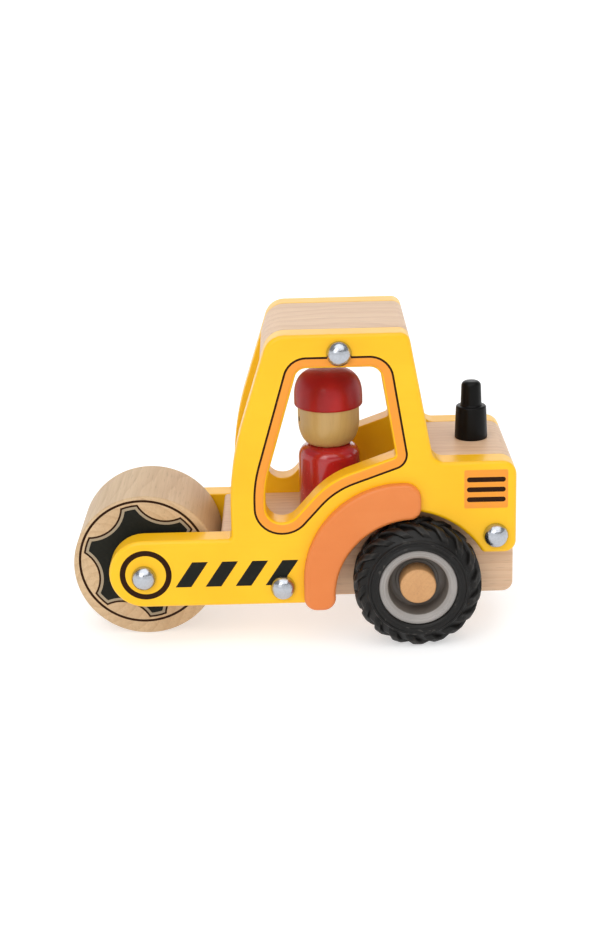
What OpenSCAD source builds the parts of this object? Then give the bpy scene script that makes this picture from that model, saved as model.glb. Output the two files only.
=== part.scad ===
// Toy road roller: two sawn side panels pinned to three blocks by steel tie rods,
// a turned roller drum, rubber tyred rear wheels and a turned driver on a peg.
// Millimetres. X runs along the vehicle (front at -X), Y across it, Z up from the ground.
// Origin: middle of the footprint, on the ground.

/* [Side panels] */
// Outside width over the two side panels
body_width = 66; // [56:0.5:80]
// Thickness of each side panel
panel_thickness = 10.5; // [6:0.5:14]
// Height of the cab roof above the ground
roof_height = 120.5; // [112:0.5:130]
// Height of the hood above the ground
hood_height = 70.6; // [64:0.2:76]
// Underside of the front arm
arm_bottom = 15.7; // [12:0.1:20]
// Top of the front arm
arm_top = 42.3; // [38:0.1:46]
// X of the rear face
rear_x = 84.5; // [80:0.5:90]
// Width of the printed border round the window
window_border = 4.1; // [2:0.1:6]

/* [Roller drum] */
// Radius of the drum
drum_radius = 28; // [24:0.1:30]
// Width of the drum
drum_width = 40; // [30:0.5:43]
// X of the drum axle
drum_x = -56.5; // [-60:0.5:-50]

/* [Rear wheels] */
// Radius over the tyre
tyre_radius = 24.2; // [20:0.1:26]
// Width of one tyre
tyre_width = 18; // [12:0.5:20]
// X of the rear axle
axle_x = 47; // [40:0.5:52]
// Radius of the wooden axle dowel
axle_radius = 6.8; // [4:0.1:8]
// How far a tyre stands out past its side panel
tyre_overhang = 9; // [5:0.5:12]

/* [Fenders] */
// Radius of the fender's outer curve
fender_outer = 38; // [37:0.1:40]
// Radius of the fender's inner curve
fender_inner = 30.2; // [30:0.1:32]
// Thickness of the fender
fender_thickness = 3.5; // [2:0.1:5]
// Radius of the wheel arch sawn in the panel
arch_radius = 34; // [33.5:0.1:35]

/* [Blocks] */
// Underside of the floor block and the engine block
block_bottom = 15; // [12:0.1:18]
// Depth of the roof block
roof_block_height = 12; // [8:0.5:14]
// How far the floor block stands out in front of the cab
floor_lip = 4.4; // [0:0.1:8]

/* [Driver] */
// X of the driver
driver_x = 15.2; // [12:0.2:20]
// Radius of the driver's body
body_radius = 12; // [9:0.1:14]
// Radius of the cap's brim
cap_radius = 13.3; // [10:0.1:15]
// Top of the driver's cap
cap_top = 99.6; // [90:0.2:104]

/* [Tie rods] */
// Radius of the steel rods
rod_radius = 2.5; // [1.5:0.1:4]
// Radius of the domed push caps
dome_radius = 4.4; // [3:0.1:6]

/* [Fits] */
// Radial clearance where a wheel, the axle or the driver turns
running_gap = 0.05; // [0.02:0.01:0.1]

/* [Hidden] */
half = body_width / 2;
inner = half - panel_thickness;
arm_end = (arm_top - arm_bottom) / 2;
cab_front = -22.8;
arch_x = 42.3;
arch_z = 17.8;
fender_outer_centre = [42.1, 25.4];
fender_inner_centre = [46.2, 19.2];
fender_foot = 13.9;
fender_end = 48.6;
roof_rod = [18.9, 113.5];
floor_rod = [-3.9, 22.9];
engine_rod = [76.7, 41.8];
drum_rod = [drum_x, drum_radius];
rod_end = half + 2.8;
axle_z = tyre_radius;
tyre_out = half + tyre_overhang;
tyre_in = tyre_out - tyre_width;
axle_end = tyre_out - 2.4;
rim_radius = 14.8;
block_joint = 61;
block_step = 47;
roof_under = roof_height - roof_block_height;
stack_x = 70.4;
peg_radius = 4;
peg_top = arm_top + 14;
body_top = 70;
head_top = 85.2;

// ---- outline helpers: a corner is [x, z, radius] ----
function unit(v) = v / norm(v);
function flat2(q) = [q[0], q[1]];
function turn(a, b, c) = (b[0] - a[0]) * (c[1] - b[1]) - (b[1] - a[1]) * (c[0] - b[0]) > 0 ? 1 : -1;
function half_angle(a, b, c) = acos(unit(a - b) * unit(c - b)) / 2;
function bisector(a, b, c) = unit(unit(a - b) + unit(c - b));
function corner_arc(a, b, c, r, n) =
    let (h = half_angle(a, b, c),
         s = b + unit(a - b) * (r / tan(h)),
         e = b + unit(c - b) * (r / tan(h)),
         m = b + bisector(a, b, c) * (r / sin(h)),
         a0 = atan2(s[1] - m[1], s[0] - m[0]),
         a1 = atan2(e[1] - m[1], e[0] - m[0]),
         sweep = ((a1 - a0 + 540) % 360) - 180)
    [for (i = [0 : n]) m + r * [cos(a0 + sweep * i / n), sin(a0 + sweep * i / n)]];
function before(p, i) = flat2(p[(i + len(p) - 1) % len(p)]);
function after(p, i) = flat2(p[(i + 1) % len(p)]);
function rounded(p, n = 9) =
    [for (i = [0 : len(p) - 1])
        each p[i][2] > 0
            ? corner_arc(before(p, i), flat2(p[i]), after(p, i), p[i][2], n)
            : [flat2(p[i])]];
function inset(p, d) =
    [for (i = [0 : len(p) - 1])
        let (a = before(p, i), b = flat2(p[i]), c = after(p, i), s = turn(a, b, c),
             q = b + bisector(a, b, c) * (s * d / sin(half_angle(a, b, c))))
        [q[0], q[1], max(p[i][2] - s * d, 1)]];

panel_corners = [
    [drum_x - arm_end, arm_bottom, arm_end - 0.01],
    [arch_x, arm_bottom, 0],
    [arch_x, 34.5, 0],
    [rear_x, 34.5, 4.5],
    [rear_x, hood_height, 5.5],
    [53.6, hood_height, 5],
    [44.5, roof_height, 4],
    [-6.9, roof_height, 8],
    [cab_front, 70.5, 110],
    [cab_front, arm_top, 1.5],
    [drum_x - arm_end, arm_top, arm_end - 0.01]];

// Line printed round the window, outside its border
window_corners = [
    [-13.7, 44.3, 10],
    [1.5, 44.3, 11],
    [16.5, 60.8, 30],
    [44.1, 70.6, 5.5],
    [37.4, 112, 8.8],
    [0.5, 112, 8.5],
    [-13.7, 63.9, 50]];

module between(y0, y1) {
    translate([0, y1, 0])
        rotate([90, 0, 0])
            linear_extrude(height = y1 - y0)
                children();
}

module rod_hole(at) {
    translate(at)
        circle(r = rod_radius, $fn = 48);
}

module panel_shape() {
    difference() {
        polygon(rounded(panel_corners));
        translate([arch_x, arch_z])
            circle(r = arch_radius, $fn = 96);
        polygon(rounded(inset(window_corners, window_border)));
        rod_hole(roof_rod);
        rod_hole(floor_rod);
        rod_hole(engine_rod);
        rod_hole(drum_rod);
    }
}

// Points on an arc about m, from angle a0 to angle a1, both ends included
function arc(m, r, a0, a1, n) =
    [for (i = [0 : n]) let (a = a0 + (a1 - a0) * i / n) m + r * [cos(a), sin(a)]];

// A curved band, widest in its middle, with rounded ends
module fender_shape() {
    left = fender_outer_centre[0] - fender_outer;
    top = fender_outer_centre[1] + fender_outer;
    under = fender_inner_centre[1] + fender_inner;
    polygon(rounded(concat(
        [for (q = arc(fender_outer_centre, fender_outer, 97, 180, 24)) [q[0], q[1], 0]],
        [[left, fender_foot, 4.8], [left + 12.2, fender_foot, 4.8]],
        [for (q = arc(fender_inner_centre, fender_inner, 178, 97, 24)) [q[0], q[1], 0]],
        [[fender_end, under + 0.1, 4.6], [fender_end, top, 6]])));
}

module left_side_panel() {
    color([0.99, 0.80, 0.20])
        between(-half, -inner)
            panel_shape();
}

module right_side_panel() {
    color([0.99, 0.80, 0.20])
        between(inner, half)
            panel_shape();
}

module left_fender() {
    color([0.96, 0.55, 0.35])
        between(-half - fender_thickness, -half)
            fender_shape();
}

module right_fender() {
    color([0.96, 0.55, 0.35])
        between(half, half + fender_thickness)
            fender_shape();
}

module roof_block() {
    color([0.88, 0.76, 0.65])
        between(-inner, inner)
            difference() {
                polygon(rounded([
                    [-6.9 - 0.3185 * roof_block_height, roof_under, 0],
                    [44.5 + 0.1824 * roof_block_height, roof_under, 0],
                    [44.5, roof_height, 4],
                    [-6.9, roof_height, 8]]));
                rod_hole(roof_rod);
            }
}

module floor_block() {
    color([0.88, 0.76, 0.65])
        difference() {
            between(-inner, inner)
                difference() {
                    polygon(rounded([
                        [cab_front - floor_lip, block_bottom, 1.5],
                        [block_joint, block_bottom, 0],
                        [block_joint, arm_top, 0],
                        [cab_front - floor_lip, arm_top, 1.5]]));
                    rod_hole(floor_rod);
                    translate([axle_x, axle_z])
                        circle(r = axle_radius + running_gap, $fn = 72);
                }
            translate([driver_x, 0, arm_top - 10])
                cylinder(r = peg_radius, h = 11, $fn = 48);
        }
}

module engine_block() {
    color([0.88, 0.76, 0.65])
        difference() {
            between(-inner, inner)
                difference() {
                    polygon(rounded([
                        [block_joint, block_bottom, 0],
                        [rear_x, block_bottom, 4],
                        [rear_x, hood_height, 5.5],
                        [block_step, hood_height, 0],
                        [block_step, arm_top, 0],
                        [block_joint, arm_top, 0]]));
                    rod_hole(engine_rod);
                }
            translate([stack_x, 0, hood_height - 8])
                cylinder(r = 3.5, h = 9, $fn = 48);
        }
}

module exhaust_stack() {
    color([0.07, 0.07, 0.07])
        translate([stack_x, 0, 0])
            rotate_extrude($fn = 64)
                polygon([[0, hood_height - 8], [3.5, hood_height - 8], [3.5, hood_height],
                         [6.35, hood_height], [6.35, hood_height + 10.9], [6, hood_height + 11.9],
                         [5.2, hood_height + 12.6], [4.05, hood_height + 12.9],
                         [4.05, hood_height + 20.4], [3.8, hood_height + 21.3],
                         [3.2, hood_height + 22.1], [2.3, hood_height + 22.5],
                         [0, hood_height + 22.6]]);
}

module driver_peg() {
    color([0.85, 0.72, 0.58])
        translate([driver_x, 0, arm_top - 10])
            cylinder(r = peg_radius, h = peg_top - arm_top + 10, $fn = 48);
}

module driver_body() {
    color([0.72, 0.12, 0.12])
        translate([driver_x, 0, 0])
            difference() {
                rotate_extrude($fn = 96)
                    polygon(rounded([
                        [0, arm_top + 0.3, 0],
                        [body_radius, arm_top + 0.3, 0.8],
                        [body_radius, body_top, 5],
                        [0, body_top, 0]], 6));
                translate([0, 0, arm_top - 1])
                    cylinder(r = peg_radius + running_gap, h = peg_top - arm_top + 1.5, $fn = 48);
            }
}

module driver_head() {
    color([0.85, 0.70, 0.50])
        translate([driver_x, 0, 0])
            rotate_extrude($fn = 96)
                polygon(rounded([
                    [0, body_top, 0],
                    [9.6, body_top, 3],
                    [11.9, body_top + 5.5, 6],
                    [11.9, head_top, 0],
                    [0, head_top, 0]], 6));
}

module driver_cap() {
    color([0.72, 0.12, 0.12])
        translate([driver_x, 0, 0])
            rotate_extrude($fn = 96)
                polygon(rounded([
                    [0, head_top, 0],
                    [cap_radius - 0.3, head_top, 1.2],
                    [cap_radius, head_top + 8, 8],
                    [cap_radius - 3.6, cap_top, 5],
                    [0, cap_top, 0]], 6));
}

module roller_drum() {
    color([0.84, 0.71, 0.57])
        translate([drum_x, 0, drum_radius])
            rotate([90, 0, 0])
                difference() {
                    rotate_extrude($fn = 120)
                        polygon(rounded([
                            [0, -drum_width / 2, 0],
                            [drum_radius, -drum_width / 2, 1.2],
                            [drum_radius, drum_width / 2, 1.2],
                            [0, drum_width / 2, 0]], 4));
                    cylinder(r = rod_radius + running_gap, h = drum_width + 2, center = true, $fn = 48);
                }
}

module rod_at(at) {
    color([0.75, 0.76, 0.78])
        translate([at[0], 0, at[1]])
            rotate([90, 0, 0])
                cylinder(r = rod_radius, h = rod_end * 2, center = true, $fn = 48);
}

module drum_axle_rod() {
    rod_at(drum_rod);
}

module roof_tie_rod() {
    rod_at(roof_rod);
}

module floor_tie_rod() {
    rod_at(floor_rod);
}

module engine_tie_rod() {
    rod_at(engine_rod);
}

module dome_shape() {
    color([0.80, 0.81, 0.83])
        rotate([-90, 0, 0])
            difference() {
                union() {
                    intersection() {
                        sphere(r = dome_radius, $fn = 64);
                        cylinder(r = dome_radius + 1, h = dome_radius + 1, $fn = 48);
                    }
                    cylinder(r = dome_radius + 0.3, h = 0.6, $fn = 64);
                }
                translate([0, 0, -1])
                    cylinder(r = rod_radius, h = rod_end - half + 1, $fn = 48);
            }
}

module dome_left(at) {
    translate([at[0], -half, at[1]])
        mirror([0, 1, 0])
            dome_shape();
}

module dome_right(at) {
    translate([at[0], half, at[1]])
        dome_shape();
}

module left_roof_dome() {
    dome_left(roof_rod);
}

module right_roof_dome() {
    dome_right(roof_rod);
}

module left_floor_dome() {
    dome_left(floor_rod);
}

module right_floor_dome() {
    dome_right(floor_rod);
}

module left_engine_dome() {
    dome_left(engine_rod);
}

module right_engine_dome() {
    dome_right(engine_rod);
}

module left_drum_dome() {
    dome_left(drum_rod);
}

module right_drum_dome() {
    dome_right(drum_rod);
}

module rear_axle_dowel() {
    color([0.87, 0.67, 0.45])
        translate([axle_x, 0, axle_z])
            rotate([90, 0, 0])
                rotate_extrude($fn = 72)
                    polygon([[0, -axle_end], [axle_radius - 0.6, -axle_end],
                             [axle_radius, -axle_end + 0.6], [axle_radius, axle_end - 0.6],
                             [axle_radius - 0.6, axle_end], [0, axle_end]]);
}

module rim_shape() {
    color([0.62, 0.61, 0.60])
        rotate([-90, 0, 0])
            rotate_extrude($fn = 96)
                polygon([[axle_radius, tyre_in + 1.2], [9, tyre_in + 1.2], [9, tyre_in + 4.5],
                         [12.8, tyre_in + 5.5], [12.8, tyre_in + 1.6], [rim_radius, tyre_in + 1.6],
                         [rim_radius, tyre_out - 1.8], [rim_radius - 0.5, tyre_out - 1.3],
                         [rim_radius - 1.2, tyre_out - 1.3], [11.6, tyre_out - 2.4],
                         [10.6, tyre_out - 9.9], [10, tyre_out - 10.5], [axle_radius, tyre_out - 10.5]]);
}

module tyre_shape() {
    color([0.13, 0.13, 0.13])
        rotate([-90, 0, 0])
            rotate_extrude($fn = 120)
                polygon(rounded([
                    [rim_radius, tyre_in + 1.6, 0],
                    [rim_radius + 1, tyre_in, 0.8],
                    [tyre_radius - 3.2, tyre_in, 2.4],
                    [tyre_radius, tyre_in + 2.8, 1.6],
                    [tyre_radius, tyre_out - 2.8, 1.6],
                    [tyre_radius - 3.2, tyre_out, 2.4],
                    [rim_radius + 1, tyre_out, 0.8],
                    [rim_radius, tyre_out - 1.8, 0]], 5));
}

module left_wheel_rim() {
    translate([axle_x, 0, axle_z])
        mirror([0, 1, 0])
            rim_shape();
}

module right_wheel_rim() {
    translate([axle_x, 0, axle_z])
        rim_shape();
}

module left_tyre() {
    translate([axle_x, 0, axle_z])
        mirror([0, 1, 0])
            tyre_shape();
}

module right_tyre() {
    translate([axle_x, 0, axle_z])
        tyre_shape();
}

left_side_panel();
right_side_panel();
left_fender();
right_fender();
roof_block();
floor_block();
engine_block();
exhaust_stack();
driver_peg();
driver_body();
driver_head();
driver_cap();
roller_drum();
drum_axle_rod();
rear_axle_dowel();
left_wheel_rim();
right_wheel_rim();
left_tyre();
right_tyre();
roof_tie_rod();
floor_tie_rod();
engine_tie_rod();
left_roof_dome();
right_roof_dome();
left_floor_dome();
right_floor_dome();
left_engine_dome();
right_engine_dome();
left_drum_dome();
right_drum_dome();
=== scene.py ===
"""Looks of the toy road roller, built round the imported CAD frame. Metres; front at -X, up +Z."""
import math

import bpy
import numpy as np
from mathutils import Matrix, Vector
from mathutils.geometry import delaunay_2d_cdt


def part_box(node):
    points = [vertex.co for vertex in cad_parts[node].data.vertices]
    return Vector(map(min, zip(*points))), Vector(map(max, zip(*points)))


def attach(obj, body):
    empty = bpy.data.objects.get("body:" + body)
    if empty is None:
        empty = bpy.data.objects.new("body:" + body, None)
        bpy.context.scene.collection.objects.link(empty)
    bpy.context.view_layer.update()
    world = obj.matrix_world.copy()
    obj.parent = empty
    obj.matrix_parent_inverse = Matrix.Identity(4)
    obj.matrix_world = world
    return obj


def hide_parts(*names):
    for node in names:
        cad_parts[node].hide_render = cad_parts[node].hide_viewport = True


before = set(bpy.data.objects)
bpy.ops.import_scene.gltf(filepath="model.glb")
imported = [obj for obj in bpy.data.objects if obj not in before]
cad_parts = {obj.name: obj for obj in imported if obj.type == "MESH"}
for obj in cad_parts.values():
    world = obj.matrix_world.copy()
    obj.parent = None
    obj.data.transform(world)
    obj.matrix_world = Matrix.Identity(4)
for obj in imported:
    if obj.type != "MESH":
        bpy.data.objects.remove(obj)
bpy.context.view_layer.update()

MM = 0.001
TAU = 2 * math.pi

# ------------------------------------------------------------------ driving sizes, from the frame
panel_low, panel_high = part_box("left_side_panel")
HALF = -panel_low.y                       # outer face of a side panel
INNER = -panel_high.y                     # inner face of a side panel
drum_low, drum_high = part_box("roller_drum")
DRUM_R = (drum_high.x - drum_low.x) / 2
DRUM_C = (drum_low + drum_high) / 2
tyre_low, tyre_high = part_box("left_tyre")
TYRE_R = (tyre_high.x - tyre_low.x) / 2
TYRE_C = (tyre_low + tyre_high) / 2
TYRE_HALF_W = (tyre_high.y - tyre_low.y) / 2
rim_low, rim_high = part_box("left_wheel_rim")
RIM_R = (rim_high.x - rim_low.x) / 2
axle_low, axle_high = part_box("rear_axle_dowel")
AXLE_R = (axle_high.x - axle_low.x) / 2
head_low, head_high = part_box("driver_head")
DRIVER_X = (head_low.x + head_high.x) / 2
HEAD_R = (head_high.x - head_low.x) / 2


def linear(r, g, b):
    """8-bit sRGB to linear RGBA."""
    def one(c):
        c /= 255
        return c / 12.92 if c <= 0.04045 else ((c + 0.055) / 1.055) ** 2.4
    return one(r), one(g), one(b), 1.0


# ------------------------------------------------------------------ node helpers
class Nodes:
    """Short calls for building a material's node tree."""

    def __init__(self, name):
        self.material = bpy.data.materials.new(name)
        self.material.use_nodes = True
        self.tree = self.material.node_tree
        self.tree.nodes.clear()
        self.out = self.tree.nodes.new("ShaderNodeOutputMaterial")
        self.shader = self.tree.nodes.new("ShaderNodeBsdfPrincipled")
        self.link(self.shader.outputs[0], self.out.inputs[0])

    def link(self, a, b):
        self.tree.links.new(a, b)

    def put(self, socket, value):
        if isinstance(value, bpy.types.NodeSocket):
            self.link(value, socket)
        else:
            socket.default_value = value

    def node(self, kind, settings=None, **inputs):
        n = self.tree.nodes.new("ShaderNode" + kind)
        for key, value in (settings or {}).items():
            setattr(n, key, value)
        for key, value in inputs.items():
            self.put(n.inputs[key.replace("_", " ")], value)
        return n

    def math(self, operation, a, b=0.0):
        n = self.node("Math", {"operation": operation})
        self.put(n.inputs[0], a)
        self.put(n.inputs[1], b)
        return n.outputs[0]

    def coords(self, scale=(1, 1, 1), rotation=(0, 0, 0), location=(0, 0, 0)):
        source = self.node("TexCoord").outputs["Object"]
        mapping = self.node("Mapping", Vector=source)
        mapping.inputs["Location"].default_value = location
        mapping.inputs["Rotation"].default_value = rotation
        mapping.inputs["Scale"].default_value = scale
        return mapping.outputs[0]

    def noise(self, vector, scale, detail=3.0, roughness=0.5, distortion=0.0):
        n = self.node("TexNoise", Vector=vector, Scale=scale, Detail=detail,
                      Roughness=roughness, Distortion=distortion)
        return n.outputs["Fac"]

    def ramp(self, fac, stops):
        """A grey ramp through (position, level) stops."""
        n = self.node("ValToRGB", Fac=fac)
        elements = n.color_ramp.elements
        while len(elements) < len(stops):
            elements.new(0.5)
        for element, (position, level) in zip(elements, stops):
            element.position = position
            element.color = (level, level, level, 1)
        return n.outputs[0]

    def grey(self, fac, low, high, start=0.0, end=1.0):
        """Maps start..end to low..high, held at the ends."""
        n = self.node("MapRange", Value=fac)
        n.inputs["From Min"].default_value = start
        n.inputs["From Max"].default_value = end
        n.inputs["To Min"].default_value = low
        n.inputs["To Max"].default_value = high
        return n.outputs[0]

    def mix(self, fac, a, b, blend="MIX"):
        n = self.tree.nodes.new("ShaderNodeMix")
        n.data_type = "RGBA"
        n.blend_type = blend
        self.put(n.inputs[0], fac)
        self.put(n.inputs[6], a)
        self.put(n.inputs[7], b)
        return n.outputs[2]

    def bump(self, height, strength, distance):
        return self.node("Bump", Height=height, Strength=strength, Distance=distance).outputs[0]

    def finish(self, **inputs):
        for key, value in inputs.items():
            self.put(self.shader.inputs[key.replace("_", " ")], value)
        return self.material


def darker(color, share):
    return tuple(share * c for c in color[:3]) + (1,)


AXIS_TO_Z = {"x": (0, math.pi / 2, 0), "y": (math.pi / 2, 0, 0), "z": (0, 0, 0)}


def stretched(axis, across, along):
    """Noise scale for streaks that run along an axis."""
    return tuple(along if name == axis else across for name in "xyz")


def wood(name, light, dark, axis="x", rings=330.0, pith=(0.03, 0.045), seed=0.0, roughness=0.5,
         figure=0.5, grain=0.35, coat=0.12):
    """Solid wood: growth rings about a line beside the piece, long fibres, pores and tone drift."""
    n = Nodes(name)
    base = n.coords(rotation=AXIS_TO_Z[axis], location=(pith[0], pith[1], seed))
    wobble = n.noise(base, 14, 2, 0.5)
    parts = n.node("SeparateXYZ", Vector=base)
    radius = n.math("SQRT", n.math("ADD", n.math("POWER", parts.outputs[0], 2.0),
                                   n.math("POWER", parts.outputs[1], 2.0)))
    phase = n.math("ADD", n.math("MULTIPLY", radius, rings), n.math("MULTIPLY", wobble, 5.0))
    ring = n.math("FRACT", phase)
    late = n.ramp(ring, [(0.0, 0), (0.55, 0.22), (0.86, 0.85), (0.95, 1), (1.0, 0)])
    shift = (seed, seed, seed)
    fibres = n.noise(n.coords(scale=stretched(axis, 900, 22), location=shift), 1.0, 4, 0.6)
    pores = n.noise(n.coords(scale=stretched(axis, 2200, 130), location=shift), 1.0, 1, 0.5)
    drift = n.noise(n.coords(scale=stretched(axis, 60, 9), location=shift), 1.0, 3, 0.55)
    tone = n.mix(n.grey(late, 0.0, figure), light, dark)
    tone = n.mix(n.grey(drift, 0.0, 0.55, 0.35, 0.75), tone, dark)
    tone = n.mix(n.grey(fibres, 0.0, grain, 0.45, 0.8), tone, darker(dark, 0.72))
    tone = n.mix(n.grey(pores, 0.0, grain, 0.62, 0.74), tone, darker(dark, 0.5))
    height = n.math("ADD", n.math("MULTIPLY", fibres, 0.6), n.math("MULTIPLY", pores, -0.5))
    return n.finish(Base_Color=tone, Roughness=n.grey(fibres, roughness - 0.08, roughness + 0.12),
                    Normal=n.bump(height, 0.22, 0.00012), Coat_Weight=coat, Coat_Roughness=0.35)


def paint(name, color, deep, edge):
    """Brushed-on satin paint over wood: faint grain, orange peel, tone drift and lighter rubbed edges."""
    n = Nodes(name)
    grain = n.noise(n.coords(scale=stretched("x", 420, 14)), 1.0, 3, 0.55)
    peel = n.noise(n.coords(), 900, 2, 0.5)
    drift = n.noise(n.coords(), 28, 4, 0.55)
    specks = n.noise(n.coords(), 1500, 1, 0.4)
    tone = n.mix(n.grey(drift, 0.0, 1.0, 0.3, 0.75), color, deep)
    tone = n.mix(n.grey(grain, 0.0, 0.35, 0.5, 0.85), tone, deep)
    surface = n.node("NewGeometry")
    facing = n.node("SeparateXYZ", Vector=surface.outputs["Normal"]).outputs[1]
    turned = n.grey(n.math("ABSOLUTE", facing), 1.0, 0.0, 0.55, 0.97)
    corner = n.math("MULTIPLY", turned, n.grey(surface.outputs["Pointiness"], 0.0, 1.0, 0.52, 0.60))
    worn = n.math("MULTIPLY", corner, n.grey(drift, 0.15, 1.0, 0.4, 0.62))
    tone = n.mix(n.math("MULTIPLY", worn, 0.55), tone, edge)
    tone = n.mix(n.grey(specks, 0.0, 0.12, 0.66, 0.8), tone, deep)
    height = n.math("ADD", n.math("MULTIPLY", grain, 0.7), n.math("MULTIPLY", peel, 0.35))
    return n.finish(Base_Color=tone, Roughness=n.grey(drift, 0.29, 0.44),
                    Normal=n.bump(height, 0.18, 0.00012), Coat_Weight=0.18, Coat_Roughness=0.25,
                    Specular_IOR_Level=0.28)


def ink(name, color, faded):
    """Screen-printed ink: slightly uneven, a touch flatter than the paint under it."""
    n = Nodes(name)
    mottle = n.noise(n.coords(), 650, 3, 0.6)
    drift = n.noise(n.coords(), 60, 2, 0.5)
    tone = n.mix(n.grey(mottle, 0.0, 0.6, 0.45, 0.8), color, faded)
    tone = n.mix(n.grey(drift, 0.0, 0.3, 0.4, 0.8), tone, faded)
    return n.finish(Base_Color=tone, Roughness=n.grey(mottle, 0.45, 0.62),
                    Normal=n.bump(mottle, 0.12, 0.00006), Specular_IOR_Level=0.1)


def lacquer(name, color, deep, roughness=0.16, coat=0.6, specular=0.5):
    """Glossy dipped lacquer on turned wood: deep colour, soft waves and faint lathe rings."""
    n = Nodes(name)
    sag = n.noise(n.coords(scale=(90, 90, 45)), 1.0, 2, 0.5)
    rings = n.math("SINE", n.node("SeparateXYZ", Vector=n.coords(scale=(1, 1, 1500))).outputs[2])
    dust = n.noise(n.coords(), 1300, 1, 0.4)
    tone = n.mix(n.grey(sag, 0.0, 1.0, 0.3, 0.75), color, deep)
    height = n.math("ADD", n.math("MULTIPLY", rings, 0.05), n.math("MULTIPLY", sag, 0.8))
    return n.finish(Base_Color=tone, Roughness=n.grey(dust, roughness, roughness + 0.14, 0.4, 0.8),
                    Normal=n.bump(height, 0.2, 0.0002), Coat_Weight=coat, Coat_Roughness=0.1,
                    Specular_IOR_Level=specular)


def rubber(name):
    """Moulded black rubber, its high parts lighter: partly scuffed rubber, partly a painted highlight."""
    n = Nodes(name)
    grit = n.noise(n.coords(), 1100, 3, 0.6)
    patch = n.noise(n.coords(), 70, 3, 0.55)
    high = n.node("NewGeometry").outputs["Pointiness"]
    dark, mid, scuff_and_highlight_tone = linear(13, 12, 11), linear(22, 20, 18), linear(88, 84, 79)
    tone = n.mix(n.grey(patch, 0.0, 0.8, 0.35, 0.75), dark, mid)
    # high parts lightened: rubbed rubber, and a painted highlight along the lug edges
    scuff_and_highlight_mask = n.math("MULTIPLY", n.grey(high, 0.0, 1.0, 0.51, 0.58), n.grey(patch, 0.2, 1.0, 0.4, 0.65))
    tone = n.mix(n.math("MULTIPLY", scuff_and_highlight_mask, 0.5), tone, scuff_and_highlight_tone)
    return n.finish(Base_Color=tone, Roughness=n.grey(grit, 0.3, 0.5),
                    Normal=n.bump(grit, 0.25, 0.0001), Specular_IOR_Level=0.27)


def plastic(name, color, deep, roughness=0.36):
    """Injection-moulded plastic with a fine grain and faint flow marks."""
    n = Nodes(name)
    flow = n.noise(n.coords(scale=(60, 60, 60)), 1.0, 3, 0.5, 0.6)
    grain = n.noise(n.coords(), 2200, 2, 0.5)
    tone = n.mix(n.grey(flow, 0.0, 0.9, 0.3, 0.75), color, deep)
    return n.finish(Base_Color=tone, Roughness=n.grey(grain, roughness - 0.06, roughness + 0.1),
                    Normal=n.bump(grain, 0.1, 0.00005))


def plated(name, color, roughness=0.16, dents=0.35):
    """Bright plated steel, slightly uneven from pressing, with hairline scratches."""
    n = Nodes(name)
    wave = n.noise(n.coords(), 420, 2, 0.5)
    haze = n.noise(n.coords(), 1400, 3, 0.6)
    scratch = n.noise(n.coords(scale=(300, 4200, 900), rotation=(0.3, 0.2, 0.6)), 1.0, 2, 0.5)
    tone = n.mix(n.grey(haze, 0.0, 0.5, 0.4, 0.8), color, darker(color, 0.72))
    height = n.math("ADD", wave, n.math("MULTIPLY", scratch, 0.1))
    return n.finish(Base_Color=tone, Metallic=1.0, Roughness=n.grey(haze, roughness, roughness + 0.16),
                    Normal=n.bump(height, dents, 0.0003))


YELLOW = paint("yellow_paint", linear(248, 193, 20), linear(243, 182, 8), linear(253, 218, 108))
ORANGE = paint("orange_paint", linear(224, 131, 66), linear(217, 119, 54), linear(240, 160, 108))
BORDER = ink("orange_print", linear(236, 153, 56), linear(233, 144, 72))
INK = ink("dark_print", linear(42, 20, 4), linear(56, 30, 8))
BAND = ink("grey_print", linear(158, 145, 124), linear(172, 152, 124))
FILL = ink("black_print", linear(27, 28, 24), linear(39, 39, 33))
PALE = (linear(228, 195, 161), linear(207, 164, 129))
ROOF_WOOD = wood("roof_wood", *PALE, axis="x", pith=(0.01, 0.05), seed=0.13)
FLOOR_WOOD = wood("floor_wood", *PALE, axis="x", pith=(-0.02, 0.03), seed=0.41)
ENGINE_WOOD = wood("engine_wood", *PALE, axis="x", pith=(-0.05, 0.035), seed=0.77)
DRUM_WOOD = wood("drum_wood", linear(208, 179, 140), linear(182, 147, 107), axis="y",
                 pith=(0.075, 0.02), seed=0.27, rings=300)
DOWEL_WOOD = wood("dowel_wood", linear(206, 156, 103), linear(187, 133, 81), axis="y",
                  pith=(-0.068, 0.004), seed=0.59, rings=420, figure=0.3, grain=0.25)
PEG_WOOD = wood("peg_wood", linear(226, 190, 148), linear(204, 162, 118), axis="z",
                pith=(-0.012, 0.01), seed=0.37, rings=500, figure=0.3, grain=0.3)
HEAD_WOOD = wood("head_wood", linear(201, 172, 107), linear(182, 149, 86), axis="z",
                 pith=(-0.01, 0.022), seed=0.91, rings=420, figure=0.2, grain=0.12, roughness=0.36,
                 coat=0.35)
RED = lacquer("red_lacquer", linear(192, 32, 38), linear(162, 20, 26), coat=0.45)
CAP_RED = lacquer("red_cap_lacquer", linear(178, 27, 30), linear(138, 14, 18), roughness=0.36, coat=0.1,
                  specular=0.3)
BLACK = lacquer("black_lacquer", linear(7, 6, 5), linear(4, 4, 4), roughness=0.34, coat=0.03, specular=0.14)
RUBBER = rubber("tyre_rubber")
RIM = plastic("rim_plastic", linear(156, 151, 147), linear(140, 135, 131))
# a darker copy of the rim plastic for the recess: painted shade
RIM_WELL_SHADE = plastic("rim_well_painted_shade", linear(112, 106, 100), linear(94, 89, 83), roughness=0.5)
CHROME = plated("bright_dome", linear(186, 190, 197), dents=0.7)
STEEL = plated("rod_steel", linear(176, 178, 182), roughness=0.3, dents=0.1)


# ------------------------------------------------------------------ outlines
SAME = 0.002 * MM               # points closer than this are one point


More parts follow.
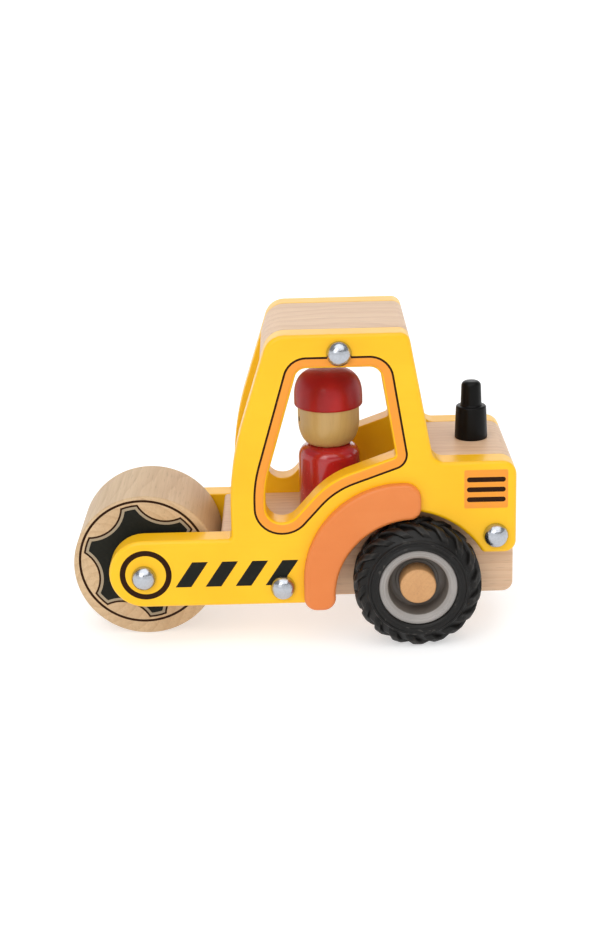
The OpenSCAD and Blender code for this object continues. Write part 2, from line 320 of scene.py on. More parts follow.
def loops_at(node, y):
    """The closed outlines, as (x, z) arrays with the solid on their left, of a node's flat face at y."""
    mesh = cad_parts[node].data
    known = {}

    def point(i):
        c = mesh.vertices[i].co
        return known.setdefault((round(c.x * 1e7), round(c.z * 1e7)), (c.x, c.z))

    edges = set()
    for polygon in mesh.polygons:
        if all(abs(mesh.vertices[i].co.y - y) < SAME for i in polygon.vertices):
            ring = [point(i) for i in polygon.vertices]
            if area_of(np.array(ring)) < 0:
                ring.reverse()
            for a, b in zip(ring, ring[1:] + ring[:1]):
                if (b, a) in edges:
                    edges.remove((b, a))
                else:
                    edges.add((a, b))
    follow = dict(sorted(edges))
    loops = []
    while follow:
        start, here = next(iter(follow.items()))
        loop = [start]
        while here != start:
            loop.append(here)
            here = follow.pop(here)
        follow.pop(start, None)
        loops.append(spaced(np.array(loop)))
    return sorted(loops, key=lambda q: -abs(area_of(q)))


def spaced(loop, gap=0.05 * MM):
    """The outline without points that crowd the one before them."""
    return loop[np.linalg.norm(loop - np.roll(loop, 1, 0), axis=1) > gap]


def area_of(loop):
    x, z = loop[:, 0], loop[:, 1]
    return 0.5 * float(np.sum(x * np.roll(z, -1) - np.roll(x, -1) * z))


def sides(loop):
    """Unit directions of the edges that leave and reach each corner."""
    out = np.roll(loop, -1, 0) - loop
    out /= np.linalg.norm(out, axis=1)[:, None]
    return out, np.roll(out, 1, 0)


def inset(loop, d):
    """The outline moved d to its left, into the solid."""
    out, into = sides(loop)
    n1 = np.stack([-into[:, 1], into[:, 0]], 1)
    n2 = np.stack([-out[:, 1], out[:, 0]], 1)
    return loop + (n1 + n2) * (d / np.maximum(1 + np.sum(n1 * n2, 1), 0.2))[:, None]


def fillet(a, b, c, reach, steps):
    """Points of the circular arc that rounds corner b, starting reach before it and ending reach after."""
    u, v = (a - b) / np.linalg.norm(a - b), (c - b) / np.linalg.norm(c - b)
    half = math.acos(max(-1.0, min(1.0, float(u @ v)))) / 2
    radius = reach * math.tan(half)
    m = b + (u + v) / np.linalg.norm(u + v) * (reach / math.cos(half))
    s, e = b + u * reach - m, b + v * reach - m
    start, end = math.atan2(s[1], s[0]), math.atan2(e[1], e[0])
    sweep = (end - start + 3 * math.pi) % TAU - math.pi
    angles = start + sweep * np.arange(steps + 1) / steps
    return [m + radius * np.array([math.cos(t), math.sin(t)]) for t in angles]


def soften(loop, r, steps=8, sharp=math.radians(24)):
    """Rounds each sharp corner of the outline to radius r, eating short neighbouring edges."""
    out, into = sides(loop)
    turns = np.arccos(np.clip(np.sum(out * into, 1), -1, 1))
    corners = [i for i in range(len(loop)) if turns[i] > sharp]
    drop, fillets = set(), {}
    count = len(loop)
    for i in corners:
        reach = r * math.tan(turns[i] / 2)
        ends = []
        for step in (-1, 1):
            k = i
            while np.linalg.norm(loop[(k + step) % count] - loop[i]) < reach:
                k = (k + step) % count
                drop.add(k)
            ends.append(loop[(k + step) % count])
        fillets[i] = fillet(ends[0], loop[i], ends[1], reach, steps)
    result = []
    for i in range(count):
        if i in fillets:
            result += fillets[i]
        elif i not in drop:
            result.append(loop[i])
    return np.array(result)


def inside(points, loops):
    """True where a point is inside the outlines, by the even-odd rule."""
    hit = np.zeros(len(points), bool)
    px, pz = points[:, 0][:, None], points[:, 1][:, None]
    for loop in loops:
        a, b = loop, np.roll(loop, -1, 0)
        crosses = (a[:, 1] > pz) != (b[:, 1] > pz)
        rise = np.where(b[:, 1] == a[:, 1], 1e-12, b[:, 1] - a[:, 1])
        at = a[:, 0] + (pz - a[:, 1]) / rise * (b[:, 0] - a[:, 0])
        hit ^= (np.sum(crosses & (px < at), 1) % 2).astype(bool)
    return hit


def circle(cx, cz, r, count=96, start=0.0, sweep=TAU):
    angles = start + sweep * np.arange(count) / count
    return np.stack([cx + r * np.cos(angles), cz + r * np.sin(angles)], 1)


# ------------------------------------------------------------------ mesh builders
EASED = 0.3 * MM                # rounding of a drilled edge
MERGE = 1e-8                    # points of a flat face this close are one
SLIVER = 1e-14                  # twice the area below which a triangle has no face


def make(name, vertices, faces, materials, face_materials=None, normals=None, sharp=None):
    mesh = bpy.data.meshes.new(name)
    mesh.from_pydata([tuple(map(float, v)) for v in vertices], [], [tuple(map(int, f)) for f in faces])
    for material in materials:
        mesh.materials.append(material)
    if face_materials is not None:
        mesh.polygons.foreach_set("material_index", list(map(int, face_materials)))
    mesh.polygons.foreach_set("use_smooth", [True] * len(mesh.polygons))
    mesh.validate()
    mesh.update()
    if normals is not None:
        mesh.normals_split_custom_set_from_vertices([tuple(map(float, v)) for v in normals])
    elif sharp is not None:
        mesh.set_sharp_from_angle(angle=math.radians(sharp))
    piece = bpy.data.objects.new(name, mesh)
    bpy.context.scene.collection.objects.link(piece)
    return piece


def slab(name, loops, y0, y1, r0, r1, materials, prints0=(), prints1=(), steps=5, painted_rims=None,
         bores=()):
    """A plate between y0 and y1 with its edges rounded to r0 and r1. prints are (material index,
    outlines) laid flat on that face, the first on top, and painted_rims gives the material and the
    number of strips of print that run over a loop's edge. The bores are drilled through with their
    edges just eased, and prints go round them."""
    verts, normals, faces, colors, rims = [], [], [], [], []
    sign = 1 if y1 > y0 else -1
    shapes = [(loop, r0, r1) for loop in loops] + [(bore, EASED, EASED) for bore in bores]
    turns = [math.pi / 2 * k / steps for k in range(steps + 1)]
    for number, (loop, round0, round1) in enumerate(shapes):
        levels = [(round0 * (1 - math.sin(t)), y0 + sign * round0 * (1 - math.cos(t)), t, -sign)
                  for t in turns]
        levels += [(round1 * (1 - math.sin(t)), y1 - sign * round1 * (1 - math.cos(t)), t, sign)
                   for t in reversed(turns)]
        out, into = sides(loop)
        outward = np.stack([out[:, 1] + into[:, 1], -out[:, 0] - into[:, 0]], 1)
        outward /= np.linalg.norm(outward, axis=1)[:, None]
        start, n = len(verts), len(loop)
        for depth, y, t, side in levels:
            for (x, z), (ox, oz) in zip(inset(loop, depth), outward):
                verts.append((x, y, z))
                normals.append((ox * math.sin(t), side * math.cos(t), oz * math.sin(t)))
        color, strips = (painted_rims or {}).get(number, (0, 0))
        for k in range(len(levels) - 1):
            for i in range(n):
                a, b = start + k * n + i, start + k * n + (i + 1) % n
                faces.append((b, a, a + n, b + n) if sign > 0 else (a, b, b + n, a + n))
                colors.append(color if k < strips else 0)
        last = start + (len(levels) - 1) * n
        rims.append(((start, inset(loop, round0)), (last, inset(loop, round1))))
    for face, (y, prints, normal) in enumerate(((y0, prints0, -sign), (y1, prints1, sign))):
        prints = [(color, [beside(outline, bores) for outline in outlines]) for color, outlines in prints]
        edge = [rim[face][1] for rim in rims]
        known = [first + i for first, outline in (rim[face] for rim in rims) for i in range(len(outline))]
        coords, edges = [], []
        for outline in edge + [outline for _, outlines in prints for outline in outlines]:
            first, n = len(coords), len(outline)
            coords += [Vector(map(float, point)) for point in outline]
            edges += [(first + i, first + (i + 1) % n) for i in range(n)]
        points, _, triangles, origins, _, _ = delaunay_2d_cdt(coords, edges, [], 0, MERGE)
        points, triangles = np.array([tuple(v) for v in points]), np.array([list(f) for f in triangles])
        index = {k: known[o] for k, old in enumerate(origins) for o in old if o < len(known)}
        centres = points[triangles].mean(1)
        color = np.zeros(len(triangles), int)
        for printed, outlines in reversed(prints):
            color[inside(centres, outlines)] = printed
        for triangle, solid, printed in zip(triangles, inside(centres, edge), color):
            p, q, r = points[triangle]
            twist = (q[0] - p[0]) * (r[1] - p[1]) - (q[1] - p[1]) * (r[0] - p[0])
            if not solid or abs(twist) < SLIVER:
                continue
            for k in triangle:
                if k not in index:
                    index[k] = len(verts)
                    verts.append((points[k][0], y, points[k][1]))
                    normals.append((0, normal, 0))
            a, b, c = (index[k] for k in triangle)
            # seen from -y, x right and z up, an anticlockwise triangle faces -y
            faces.append((a, b, c) if (twist > 0) == (normal < 0) else (a, c, b))
            colors.append(printed)
    return make(name, verts, faces, materials, colors, normals)


def beside(outline, bores, step=0.1 * MM):
    """The printed outline led round any bore it would cross."""
    dense, corners = [], []
    for a, b in zip(outline, np.roll(outline, -1, 0)):
        cuts = max(1, int(np.linalg.norm(b - a) / step))
        dense += [a + (b - a) * k / cuts for k in range(cuts)]
        corners += [True] + [False] * (cuts - 1)
    dense = np.array(dense)
    moved = dense.copy()
    for bore in bores:
        centre = bore.mean(0)
        reach = 2 * EASED + float(np.linalg.norm(bore[0] - centre))
        away = np.linalg.norm(moved - centre, axis=1)
        pushed = centre + (moved - centre) * (reach / away)[:, None]
        moved = np.where((away < reach)[:, None], pushed, moved)
    return moved[np.any(moved != dense, axis=1) | np.array(corners)]


def rounded_profile(corners, steps=5):
    """(r, h, radius) corners to a smooth (r, h) profile."""
    points = []
    for i, (r, h, radius) in enumerate(corners):
        b = np.array([r, h], float)
        if radius <= 0 or i in (0, len(corners) - 1):
            points.append(b)
            continue
        a, c = np.array(corners[i - 1][:2], float), np.array(corners[i + 1][:2], float)
        u, v = (a - b) / np.linalg.norm(a - b), (c - b) / np.linalg.norm(c - b)
        half = math.acos(max(-1, min(1, float(u @ v)))) / 2
        reach = min(radius / math.tan(half), 0.49 * np.linalg.norm(a - b), 0.49 * np.linalg.norm(c - b))
        points += fillet(a, b, c, reach, steps)
    return points


def lathe(name, profile, centre, axis, materials, segments=96, sharp=38, ring_material=None):
    """Turns an (r, h) profile, anticlockwise from the axis, about an axis through centre.
    ring_material gives the material index of the ring that starts at each of the profile's points."""
    turned = {"+z": Matrix.Identity(3), "+y": Matrix.Rotation(-math.pi / 2, 3, "X"),
              "-y": Matrix.Rotation(math.pi / 2, 3, "X")}[axis]
    closed = profile[0][0] > 1e-9
    verts, faces, mats, rings = [], [], [], []
    for r, h in profile:
        if r < 1e-9:
            rings.append([len(verts)])
            verts.append(turned @ Vector((0, 0, h)) + centre)
            continue
        rings.append(list(range(len(verts), len(verts) + segments)))
        for k in range(segments):
            a = TAU * k / segments
            verts.append(turned @ Vector((r * math.cos(a), r * math.sin(a), h)) + centre)
    pairs = list(zip(rings, rings[1:])) + ([(rings[-1], rings[0])] if closed else [])
    for number, (low, high) in enumerate(pairs):
        for k in range(segments):
            j = (k + 1) % segments
            if len(low) == 1 and len(high) == 1:
                continue
            if len(low) == 1:
                faces.append((low[0], high[k], high[j]))
            elif len(high) == 1:
                faces.append((low[k], high[0], low[j]))
            else:
                faces.append((low[k], high[k], high[j], low[j]))
            mats.append(ring_material[number] if ring_material else 0)
    return make(name, verts, [tuple(reversed(f)) for f in faces], materials, mats, sharp=sharp)


def settle(piece, body, slot, *nodes):
    """The piece rides on its body and stands for its CAD nodes, which it hides. The slot is not used."""
    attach(piece, body)
    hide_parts(*nodes)
    return piece


# ------------------------------------------------------------------ side panels with their prints
EDGE = 1.7 * MM                 # rounding of the painted edges
INNER_EDGE = 0.5 * MM
CORNER = 2.3 * MM               # rounding of the outline's corners
BORDER_W = 4.1 * MM             # window edge to the middle of the printed line
LINE_W = 0.8 * MM
ARM_H = 26.6 * MM               # height of the drum arm
RING_X = DRUM_C.x + 0.7 * MM    # printed ring on the arm
RING_OUT, RING_IN = 9.85 * MM, 7.7 * MM
STRIPES = 4
STRIPE_X, STRIPE_PITCH = -44.7 * MM, 11.4 * MM
STRIPE_LOW, STRIPE_HIGH = 23.75 * MM, 33.75 * MM
STRIPE_W, STRIPE_LEAN = 6.0 * MM, 6.7 * MM
VENT_X, VENT_Z = 64.8 * MM, 52.5 * MM
VENT_W, VENT_H = 16.4 * MM, 15.1 * MM
SLOTS = 3
SLOT_DOWN, SLOT_PITCH = 3.85 * MM, 3.9 * MM
SLOT_X, SLOT_W, SLOT_R = VENT_X + 1.0 * MM, 14.5 * MM, 0.98 * MM


def box_outline(x0, z0, x1, z1, lean=0.0):
    return np.array([(x0, z0), (x1, z0), (x1 + lean, z1), (x0 + lean, z1)])


def slot_outline(x0, x1, z, r):
    """A slot shape with round ends."""
    right = circle(x1 - r, z, r, 12, -math.pi / 2, math.pi)
    left = circle(x0 + r, z, r, 12, math.pi / 2, math.pi)
    return np.concatenate([right, left])


def panel_prints(window):
    """What is printed on a side panel's outer face: (material index, outlines), the top one first."""
    ring = RING_X, panel_low.z + ARM_H / 2
    prints = [(1, [inset(window, BORDER_W - LINE_W / 2)]), (2, [inset(window, BORDER_W + LINE_W / 2)]),
              (2, [circle(*ring, RING_OUT), circle(*ring, RING_IN)])]
    for k in range(STRIPES):
        x = STRIPE_X + STRIPE_PITCH * k
        prints.append((3, [box_outline(x, STRIPE_LOW, x + STRIPE_W, STRIPE_HIGH, STRIPE_LEAN)]))
    for k in range(SLOTS):
        z = VENT_Z + VENT_H - SLOT_DOWN - SLOT_PITCH * k
        prints.append((2, [slot_outline(SLOT_X, SLOT_X + SLOT_W, z, SLOT_R)]))
    vent = box_outline(VENT_X, VENT_Z, VENT_X + VENT_W, VENT_Z + VENT_H)
    return prints + [(1, [soften(vent, 0.7 * MM)])]


def side_panel(side):
    node = f"{side}_side_panel"
    sign = -1 if side == "left" else 1
    edge, window, *bores = loops_at(node, sign * HALF)
    outlines = [soften(edge, CORNER), soften(window, CORNER)]
    piece = slab(f"{side}_panel_look", outlines, sign * HALF, sign * INNER, EDGE, INNER_EDGE,
                 [YELLOW, BORDER, INK, FILL], panel_prints(outlines[1]), painted_rims={1: (1, 2)},
                 bores=bores)
    return settle(piece, "chassis", "yellow_panel", node)


for side in ("left", "right"):
    side_panel(side)


# ------------------------------------------------------------------ fenders and wooden blocks
FENDER_EDGE, FENDER_BACK = 1.6 * MM, 0.15 * MM
BLOCK_EDGE, BLOCK_CORNER = 0.35 * MM, 0.9 * MM


def fender(side):
    node = f"{side}_fender"
    sign = -1 if side == "left" else 1
    low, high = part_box(node)
    outer = low.y if side == "left" else high.y
    piece = slab(f"{side}_fender_look", loops_at(node, outer), outer, sign * HALF, FENDER_EDGE,
                 FENDER_BACK, [ORANGE])
    return settle(piece, "chassis", "orange_fender", node)


def block(node, material):
    edge, *holes = loops_at(node, -INNER)
    piece = slab(f"{node}_look", [soften(edge, BLOCK_CORNER), *holes], -INNER, INNER, BLOCK_EDGE,
                 BLOCK_EDGE, [material], steps=3)
    return settle(piece, "chassis", "bare_wood", node)


for side in ("left", "right"):
    fender(side)
block("roof_block", ROOF_WOOD)
block("floor_block", FLOOR_WOOD)
block("engine_block", ENGINE_WOOD)


# ------------------------------------------------------------------ exhaust stack
def exhaust():
    low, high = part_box("exhaust_stack")
    r = (high.x - low.x) / 2
    centre = Vector(((low.x + high.x) / 2, 0, 0))
    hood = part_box("engine_block")[1].z
    shoulder = hood + 12.9 * MM
    stub_r, collar_r, pipe_r, top_r = 3.5 * MM, 4.4 * MM, 4.05 * MM, 3.75 * MM
    corners = [(0, low.z, 0), (stub_r, low.z, 0), (stub_r, hood, 0), (r - 0.2 * MM, hood, 0.1 * MM),
               (r, hood + 0.5 * MM, 0.4 * MM), (r - 0.5 * MM, shoulder, 1.0 * MM),
               (collar_r, shoulder + 0.05 * MM, 0.25 * MM), (pipe_r, shoulder + 0.5 * MM, 0.3 * MM),
               (top_r, high.z, 2.2 * MM), (0, high.z, 0)]
    piece = lathe("exhaust_stack_look", rounded_profile(corners, 7), centre, "+z", [BLACK], 80)
    return settle(piece, "chassis", "black_lacquer", "exhaust_stack")


exhaust()


# ------------------------------------------------------------------ driver
def rounded(r0, r1, z0, z1, steps):
    """Points of an elliptical corner that goes out from r0 to r1 and up from z0 to z1."""
    turns = np.linspace(0, math.pi / 2, steps + 1)
    return [(r0 + (r1 - r0) * math.sin(t), z0 + (z1 - z0) * (1 - math.cos(t))) for t in turns]


def crown(r, z0, z1, steps=24, side=3.3, top=2.5):
    """Points of a full, flattened dome that closes in from r at z0 to the axis at z1."""
    points = []
    for k in range(1, steps):
        t = math.pi / 2 * k / steps
        points.append((r * math.cos(t) ** (2 / side), z0 + (z1 - z0) * math.sin(t) ** (2 / top)))
    return points + [(0, z1)]


def driver():
    centre = Vector((DRIVER_X, 0, 0))
    low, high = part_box("driver_body")
    r = (high.x - low.x) / 2
    bore_r, bore_top = 4.05 * MM, low.z + 14.2 * MM
    corners = [(0, bore_top, 0), (bore_r, bore_top, 0), (bore_r, low.z, 0), (r, low.z, 0.8 * MM),
               (r, high.z, 5.2 * MM), (0, high.z, 0)]
    body = lathe("driver_body_look", rounded_profile(corners, 9), centre, "+z", [RED], 96)
    settle(body, "driver", "red_lacquer", "driver_body")

    chin_r, jaw_h = 7.0 * MM, 9.5 * MM
    profile = [(0, head_low.z), *rounded(chin_r, HEAD_R, head_low.z, head_low.z + jaw_h, 16)]
    profile += [(HEAD_R, head_high.z), (0, head_high.z)]
    head = lathe("driver_head_look", profile, centre, "+z", [HEAD_WOOD], 96)
    settle(head, "driver", "varnished_wood", "driver_head")

    low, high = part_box("driver_cap")
    r = (high.x - low.x) / 2
    band = low.z + 3.2 * MM
    profile = rounded_profile([(0, low.z, 0), (r, low.z, 1.0 * MM), (r, band, 0)], 6)
    cap = lathe("driver_cap_look", profile + crown(r, band, high.z), centre, "+z", [CAP_RED], 96)
    settle(cap, "driver", "red_lacquer", "driver_cap")

    eye_z, eye_half_w, eye_half_h, apart = head_low.z + 10.6 * MM, 0.75 * MM, 1.15 * MM, 16
    for name, azimuth in (("left", 180 + apart), ("right", 180 - apart)):
        eye = face_patch(f"driver_{name}_eye", azimuth, eye_z, eye_half_w, eye_half_h)
        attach(eye, "driver")


def face_patch(name, azimuth, z, half_w, half_h, rows=5, count=24):
    """A small raised oval of paint on the head, facing out at an azimuth in degrees."""
    raised, sunk, behind = 0.12 * MM, 0.05 * MM, 0.4 * MM

    def point(share, turn, r):
        a = math.radians(azimuth) + half_w * share * math.cos(turn) / HEAD_R
        return DRIVER_X + r * math.cos(a), r * math.sin(a), z + half_h * share * math.sin(turn)

    verts = [point(0, 0, HEAD_R + raised)]
    for k in range(1, rows + 1):
        share = k / rows
        r = HEAD_R + raised * (1 - share ** 3) if k < rows else HEAD_R - sunk
        verts += [point(share, TAU * i / count, r) for i in range(count)]
    back = len(verts)
    verts.append(point(0, 0, HEAD_R - behind))
    faces = []
    for i in range(count):
        j = (i + 1) % count
        faces.append((0, 1 + i, 1 + j))
        for k in range(rows - 1):
            inner, outer = 1 + k * count, 1 + (k + 1) * count
            faces.append((inner + i, outer + i, outer + j, inner + j))
        faces.append((back, outer + j, outer + i))
    return make(name, verts, faces, [BLACK])


driver()


# ------------------------------------------------------------------ roller drum
def star(centre, tips=6, tip_r=23.2 * MM, tip_half=math.radians(8.4), valley_r=18.1 * MM,
         phase=math.radians(41.5), steps=12):
    """A star with flat tips joined by hollow arcs."""
    half_span = math.pi / tips - tip_half
    chord = tip_r * math.sin(half_span)
    depth = tip_r * math.cos(half_span) - valley_r
    radius = (chord ** 2 + depth ** 2) / (2 * depth)
    reach = math.asin(min(1, chord / radius))
    points = []
    for k in range(tips):
        tip = phase + TAU * k / tips
        points += [(tip_r * math.cos(t), tip_r * math.sin(t))
                   for t in np.linspace(tip - tip_half, tip + tip_half, 4)]
        c, s = math.cos(tip + math.pi / tips), math.sin(tip + math.pi / tips)
        for t in np.linspace(-reach, reach, steps + 1)[1:-1]:
            u, v = valley_r + radius * (1 - math.cos(t)), radius * math.sin(t)
            points.append((u * c - v * s, u * s + v * c))
    return np.array(points) + np.array(centre)


def roller_drum():
    face, edge, bore_r = drum_high.y, 1.0 * MM, 2.55 * MM
    hub = circle(DRUM_C.x, DRUM_C.z, bore_r, 48)[::-1]
    rim = circle(DRUM_C.x, DRUM_C.z, DRUM_R, 160)
    print_c = DRUM_C.x - 1.0 * MM, DRUM_C.z + 1.75 * MM
    ring_r, line, star_line, band = 24.5 * MM, 0.95 * MM, 0.75 * MM, 1.75 * MM
    outline = star(print_c)
    prints = [(2, [inset(outline, band)]), (3, [inset(outline, star_line)]), (1, [outline]),
              (0, [circle(*print_c, ring_r - line / 2, 120)]),
              (1, [circle(*print_c, ring_r + line / 2, 120)])]
    piece = slab("roller_drum_look", [rim, hub], -face, face, edge, edge, [DRUM_WOOD, INK, FILL, BAND],
                 prints, prints)
    return settle(piece, "drum", "bare_wood", "roller_drum")


roller_drum()


# ------------------------------------------------------------------ rear wheels
LUGS = 18                       # on each side of the crown, the two rows half a pitch apart
LUG_H = 1.55 * MM
LUG_LEAN = 0.052 / MM           # radians the lugs lean back for each metre from the crown
LUG_REACH = 13 * MM             # distance from the crown where the lean stops growing
# a lug's height round the wheel: (share of the pitch, share of the height)
LUG_FLANKS = [(0.0, 0.0), (0.02, 0.35), (0.045, 0.9), (0.07, 1.0), (0.16, 1.0), (0.25, 1.0), (0.34, 1.0),
              (0.43, 1.0), (0.455, 0.9), (0.48, 0.35)]


def tyre_section(step=0.55 * MM):
    """Half of the tyre's profile, crown to bead, as (r, w), with points at most about a step apart."""
    w = TYRE_HALF_W
    carcass = TYRE_R - LUG_H
    corners = [(carcass + 0.05 * MM, 0, 0), (carcass - 0.15 * MM, w - 3.6 * MM, 2 * MM),
               (TYRE_R - 5.2 * MM, w - 0.9 * MM, 3 * MM), (19.0 * MM, w - 0.75 * MM, 0.4 * MM),
               (18.7 * MM, w - 0.25 * MM, 0.3 * MM), (18.1 * MM, w - 0.2 * MM, 0.3 * MM),
               (17.8 * MM, w - 0.75 * MM, 0.4 * MM), (16.6 * MM, w - 0.7 * MM, 0.5 * MM),
               (RIM_R + 0.9 * MM, w - 0.15 * MM, 0.5 * MM), (RIM_R + 0.1 * MM, w - 0.6 * MM, 0.5 * MM),
               (RIM_R, w - 1.8 * MM, 0)]
    dense = []
    points = rounded_profile(corners, 5)
    for a, b in zip(points, points[1:]):
        cuts = max(1, int(np.linalg.norm(b - a) / step))
        dense += [a + (b - a) * k / cuts for k in range(cuts)]
    dense.append(points[-1])
    return dense


def lug_share(r, w):
    """How much of the lug's height a point of the profile carries: none at the crown and the wall."""
    return smooth(w, 0.25 * MM, 0.75 * MM) * smooth(r, 19.9 * MM, 20.9 * MM)


def smooth(x, a, b):
    """0 below a, 1 above b, and an easy step between."""
    t = max(0.0, min(1.0, (x - a) / (b - a)))
    return t * t * (3 - 2 * t)


def tyre(side):
    node = f"{side}_tyre"
    low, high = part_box(node)
    centre = (low + high) / 2
    half = tyre_section()
    profile = [(r, -w) for r, w in reversed(half)] + [(r, w) for r, w in half[1:]]
    arc = [0.0]
    for a, b in zip(profile, profile[1:]):
        arc.append(arc[-1] + math.dist(a, b))
    middle = arc[len(half) - 1]
    columns = [(mark, share, 0.0) for mark, share in LUG_FLANKS]
    columns += [(mark + 0.5, 0.0, share) for mark, share in LUG_FLANKS]
    sign = -1 if side == "left" else 1
    verts, faces, count = [], [], len(columns) * LUGS
    for (r, w), along, (nr, nw) in zip(profile, arc, profile_normals(profile)):
        across = along - middle
        lean = LUG_LEAN * min(abs(across), LUG_REACH)
        for k in range(count):
            lug, column = divmod(k, len(columns))
            mark, near, far = columns[column]
            lift = LUG_H * (near if across < 0 else far) * lug_share(r, abs(w))
            angle = TAU * (lug + mark) / LUGS + lean
            out = min(TYRE_R, r + nr * lift)
            aside = max(-TYRE_HALF_W, min(TYRE_HALF_W, w + nw * lift))
            verts.append((centre.x + out * math.sin(angle), centre.y - sign * aside,
                          centre.z + out * math.cos(angle)))
    rows = len(profile)
    for i in range(rows):
        n = (i + 1) % rows
        for k in range(count):
            j = (k + 1) % count
            quad = (i * count + k, i * count + j, n * count + j, n * count + k)
            faces.append(quad if sign < 0 else tuple(reversed(quad)))
    piece = make(f"{side}_tyre_look", verts, faces, [RUBBER], sharp=50)
    return settle(piece, "rear_wheels", "tyre_rubber", node)


def profile_normals(profile):
    """Outward unit normals (r, w) along an open profile that runs from -w to +w."""
    result = []
    for i in range(len(profile)):
        a, b = profile[max(0, i - 1)], profile[min(len(profile) - 1, i + 1)]
        dr, dw = b[0] - a[0], b[1] - a[1]
        size = math.hypot(dr, dw)
        result.append((dw / size, -dr / size))
    return result


def rim(side):
    node = f"{side}_wheel_rim"
    low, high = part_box(node)
    sign = -1 if side == "left" else 1
    out = max(abs(low.y), abs(high.y))
    back = min(abs(low.y), abs(high.y))
    floor = out - 9.2 * MM                # bottom of the outer recess
    behind, flange = back + 0.4 * MM, out - 0.35 * MM
    web = back + 3.3 * MM
    hub_r, shell_r, lip_r, well_r = 9 * MM, 12.8 * MM, 13.5 * MM, 11.8 * MM
    corners = [(AXLE_R, back, 0), (hub_r, back, 0.4 * MM), (hub_r, web, 0.5 * MM),
               (shell_r, web + 1 * MM, 0.5 * MM), (shell_r, behind, 0.3 * MM), (RIM_R, behind, 0.3 * MM),
               (RIM_R, out - 0.1 * MM, 0.45 * MM), (lip_r, out, 0.5 * MM),
               (lip_r - 0.4 * MM, flange, 0.25 * MM), (lip_r - 1 * MM, flange, 0.5 * MM),
               (11.3 * MM, out - 1.6 * MM, 0.8 * MM), (10.6 * MM, floor + 0.7 * MM, 0.8 * MM),
               (9.6 * MM, floor, 0.4 * MM), (8.2 * MM, floor, 0.2 * MM),
               (8.0 * MM, floor + 0.4 * MM, 0.15 * MM), (7.2 * MM, floor + 0.4 * MM, 0.2 * MM),
               (AXLE_R, floor + 0.2 * MM, 0)]
    profile = rounded_profile(corners, 5)
    # rings deep in the recess take the darker plastic, which is painted shade
    in_well = [r < well_r and y > floor - 1 * MM for r, y in profile]
    piece = lathe(f"{side}_rim_look", profile, Vector((TYRE_C.x, 0, TYRE_C.z)),
                  "-y" if sign < 0 else "+y", [RIM, RIM_WELL_SHADE], 120, ring_material=in_well)
    return settle(piece, "rear_wheels", "grey_plastic", node)


def axle():
    end = axle_high.y
    corners = [(0, -end, 0), (AXLE_R, -end, 0.7 * MM), (AXLE_R, end, 0.7 * MM), (0, end, 0)]
    centre = Vector((TYRE_C.x, 0, TYRE_C.z))
    piece = lathe("rear_axle_look", rounded_profile(corners, 6), centre, "+y", [DOWEL_WOOD], 96)
    return settle(piece, "rear_wheels", "dowel_wood", "rear_axle_dowel")


for side in ("left", "right"):
    tyre(side)
    rim(side)
axle()


# ------------------------------------------------------------------ domed caps, rods and peg
def dome(side, place):
    node = f"{side}_{place}_dome"
    low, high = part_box(node)
    centre = (low + high) / 2
    sign = -1 if side == "left" else 1
    flange = (high.x - low.x) / 2
    tall = high.y - low.y
    bore, deep = 2.5 * MM, 2.8 * MM
    lip, ease, fullness, steps = 0.35 * MM, 0.15 * MM, 0.94, 16
    profile = [(0, deep), (bore, deep), (bore, 0), (flange - ease, 0), (flange, ease)]
    for k in range(steps):
        t = math.pi / 2 * k / steps
        profile.append((flange * math.cos(t) ** fullness, lip + (tall - lip) * math.sin(t)))
    profile.append((0, tall))
    piece = lathe(f"{node}_look", profile, Vector((centre.x, sign * HALF, centre.z)),
                  "-y" if sign < 0 else "+y", [CHROME], 64, sharp=50)
    return settle(piece, "chassis", "bright_dome", node)


for side in ("left", "right"):
    for place in ("roof", "floor", "engine", "drum"):
        dome(side, place)


def pin(node, axis, slot, material, chamfer):
    """A plain turned pin with eased ends, standing for a CAD rod or peg along an axis."""
    low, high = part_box(node)
    along = 1 if axis == "+y" else 2
    r = (high.x - low.x) / 2
    centre = (low + high) / 2
    half = (high[along] - low[along]) / 2
    corners = [(0, -half, 0), (r, -half, chamfer), (r, half, chamfer), (0, half, 0)]
    piece = lathe(f"{node}_look", rounded_profile(corners, 4), centre, axis, [material], 48)
    return settle(piece, "chassis", slot, node)


for node in ("drum_axle_rod", "roof_tie_rod", "floor_tie_rod", "engine_tie_rod"):
    pin(node, "+y", "steel", STEEL, 0.4 * MM)
pin("driver_peg", "+z", "dowel_wood", PEG_WOOD, 0.6 * MM)


# ------------------------------------------------------------------ floor, light and camera
AIM = Vector((0, 0, 0.05))


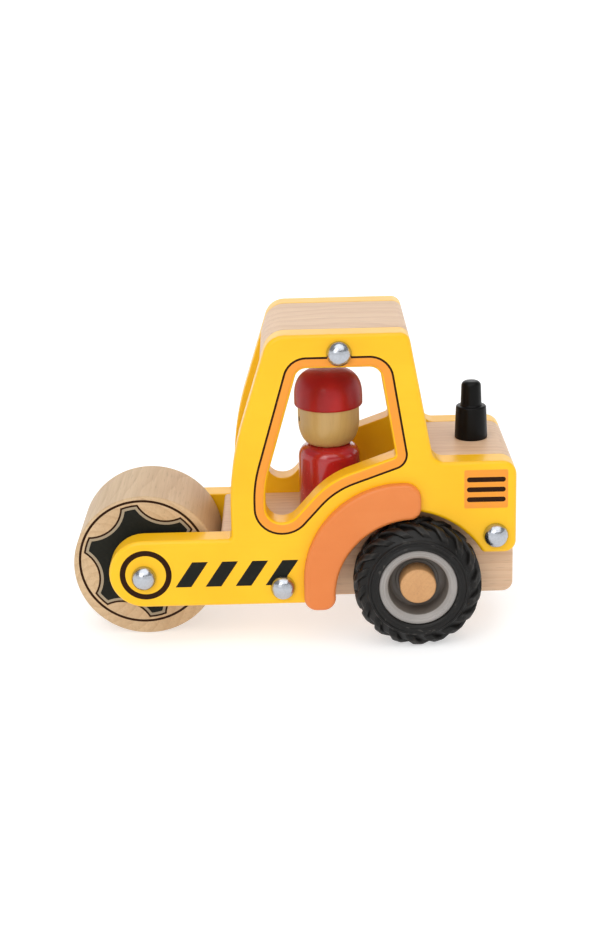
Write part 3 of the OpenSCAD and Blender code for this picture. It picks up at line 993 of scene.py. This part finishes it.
def stage():
    """A round white studio sweep: a flat floor that curves up into a low wall."""
    flat, bend, wall, count = 1.8, 0.4, 0.9, 96
    section = [(0.9 * flat, 0), *rounded(flat, flat + bend, 0, bend, 12), (flat + bend, wall)]
    verts = [(x, z, height) for r, height in section for x, z in circle(0, 0, r, count)]
    faces = [tuple(range(count))]
    for i in range(len(section) - 1):
        for k in range(count):
            j = (k + 1) % count
            faces.append((i * count + j, i * count + k, (i + 1) * count + k, (i + 1) * count + j))
    n = Nodes("studio_floor")
    n.finish(Base_Color=(0.62, 0.62, 0.62, 1), Roughness=0.6, Emission_Color=(1, 1, 1, 1),
             Emission_Strength=0.5)
    make("floor", verts, faces, [n.material])


def area_light(name, place, size, power):
    """A square soft box at a place, aimed at the middle of the toy."""
    data = bpy.data.lights.new(name, "AREA")
    data.shape = "SQUARE"
    data.size = size
    data.energy = power
    light = bpy.data.objects.new(name, data)
    light.location = place
    light.rotation_euler = (AIM - Vector(place)).to_track_quat("-Z", "Y").to_euler()
    bpy.context.scene.collection.objects.link(light)


def sky_light(name, came_from, strength, spread):
    """An even, very soft light from one side of the sky, the same over the whole floor."""
    data = bpy.data.lights.new(name, "SUN")
    data.energy = strength
    data.angle = math.radians(spread)
    light = bpy.data.objects.new(name, data)
    light.rotation_euler = Vector(came_from).to_track_quat("Z", "Y").to_euler()
    bpy.context.scene.collection.objects.link(light)


def studio():
    world = bpy.data.worlds.new("studio")
    world.use_nodes = True
    sky = world.node_tree.nodes["Background"]
    sky.inputs["Color"].default_value = (1, 1, 1, 1)
    sky.inputs["Strength"].default_value = 0.315
    bpy.context.scene.world = world
    sky_light("overhead", (0.05, -0.35, 1), 1.54, 70)
    area_light("key", (-0.45, -0.95, 0.75), 0.6, 3.2)
    area_light("backdrop", (0, 1.5, 0.95), 1.5, 4.8)


def camera():
    data = bpy.data.cameras.new("camera")
    data.sensor_fit = "VERTICAL"
    data.sensor_height = 36
    data.lens = 70.6
    data.clip_end = 50
    view = bpy.data.objects.new("camera", data)
    view.location = (0.0045, -0.6766, 0.2746)
    down, yaw, roll = math.radians(17.47), math.radians(0.07), math.radians(-1.46)
    tilted = Matrix.Rotation(math.pi / 2 - down, 4, "X") @ Matrix.Rotation(roll, 4, "Z")
    view.rotation_euler = (Matrix.Rotation(yaw, 4, "Z") @ tilted).to_euler()
    bpy.context.scene.collection.objects.link(view)
    bpy.context.scene.camera = view


stage()
studio()
camera()
bpy.context.scene.view_settings.view_transform = "Standard"
